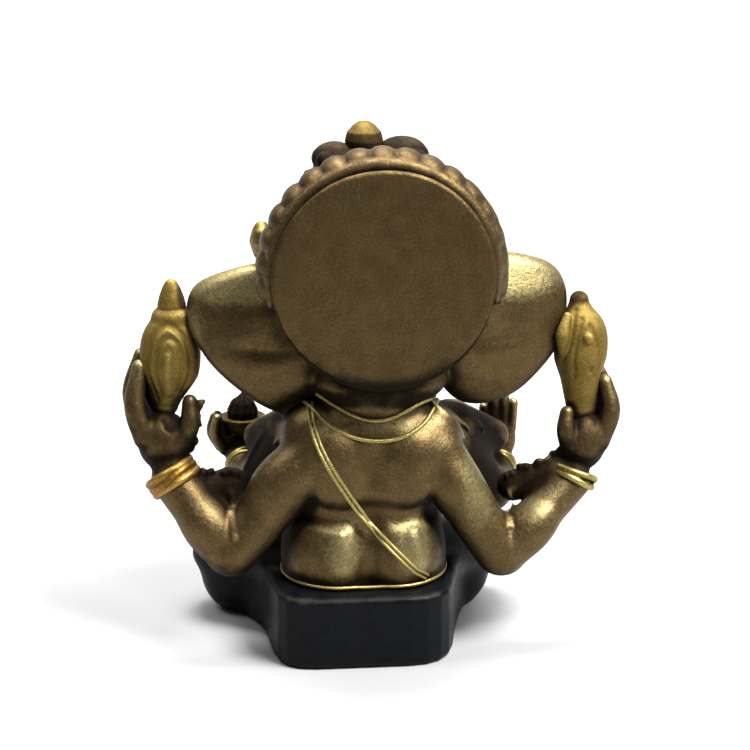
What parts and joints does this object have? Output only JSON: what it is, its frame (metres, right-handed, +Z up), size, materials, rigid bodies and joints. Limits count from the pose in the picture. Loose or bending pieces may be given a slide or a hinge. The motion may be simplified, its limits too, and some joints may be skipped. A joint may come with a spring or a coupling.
{
  "type": "ganesha idol",
  "caption": "Small seated four-armed Ganesha idol: fan ears, curled trunk, petal-ringed crown with a flat round back plate, conch and lotus bud in the raised rear hands, on a low black plinth.",
  "frame": {"origin": "centre of the bounding box on the ground: the middle of the figure's footprint box, at the underside of the plinth", "axes": "+Z up; the face looks along -Y and the flat back plate faces +Y; +X is the figure's own left"},
  "size_m": [0.0656, 0.0362, 0.07],
  "materials": {
    "antique_bronze": "metallic antique bronze paint, dark wash in the hollows and a gold dry-brushed edge",
    "bright_gold": "brighter gold metallic paint, slightly worn",
    "black_satin": "satin black paint"
  },
  "bodies": {
    "root": {"modak": "antique_bronze", "halo_disc": "antique_bronze", "crown_petal_ring": "antique_bronze", "crown_dome": "antique_bronze", "left_tusk": "antique_bronze", "right_tusk": "antique_bronze", "trunk": "antique_bronze", "head": "antique_bronze", "left_ear": "antique_bronze", "right_ear": "antique_bronze", "rear_left_hand": "antique_bronze", "rear_right_hand": "antique_bronze", "front_left_hand": "antique_bronze", "front_right_hand": "antique_bronze", "rear_left_forearm": "antique_bronze", "rear_right_forearm": "antique_bronze", "front_left_forearm": "antique_bronze", "front_right_forearm": "antique_bronze", "rear_left_upper_arm": "antique_bronze", "rear_right_upper_arm": "antique_bronze", "front_left_upper_arm": "antique_bronze", "front_right_upper_arm": "antique_bronze", "neck": "antique_bronze", "belly": "antique_bronze", "torso": "antique_bronze", "left_foot": "antique_bronze", "right_foot": "antique_bronze", "left_anklet": "bright_gold", "right_anklet": "bright_gold", "rear_left_bangle": "bright_gold", "rear_right_bangle": "bright_gold", "front_left_bangle": "bright_gold", "front_right_bangle": "bright_gold", "conch": "bright_gold", "lotus_bud": "bright_gold", "modak_bowl": "bright_gold", "waist_band": "bright_gold", "sacred_thread": "bright_gold", "necklace_upper": "bright_gold", "necklace_lower": "bright_gold", "crown_finial": "bright_gold", "crown_front_jewel": "bright_gold", "left_crown_boss": "bright_gold", "right_crown_boss": "bright_gold", "crown_band": "bright_gold", "dhoti_pleats": "black_satin", "right_shin": "black_satin", "left_shin": "black_satin", "left_thigh": "black_satin", "right_thigh": "black_satin", "dhoti_seat": "black_satin", "plinth": "black_satin"}
  },
  "joints": []
}
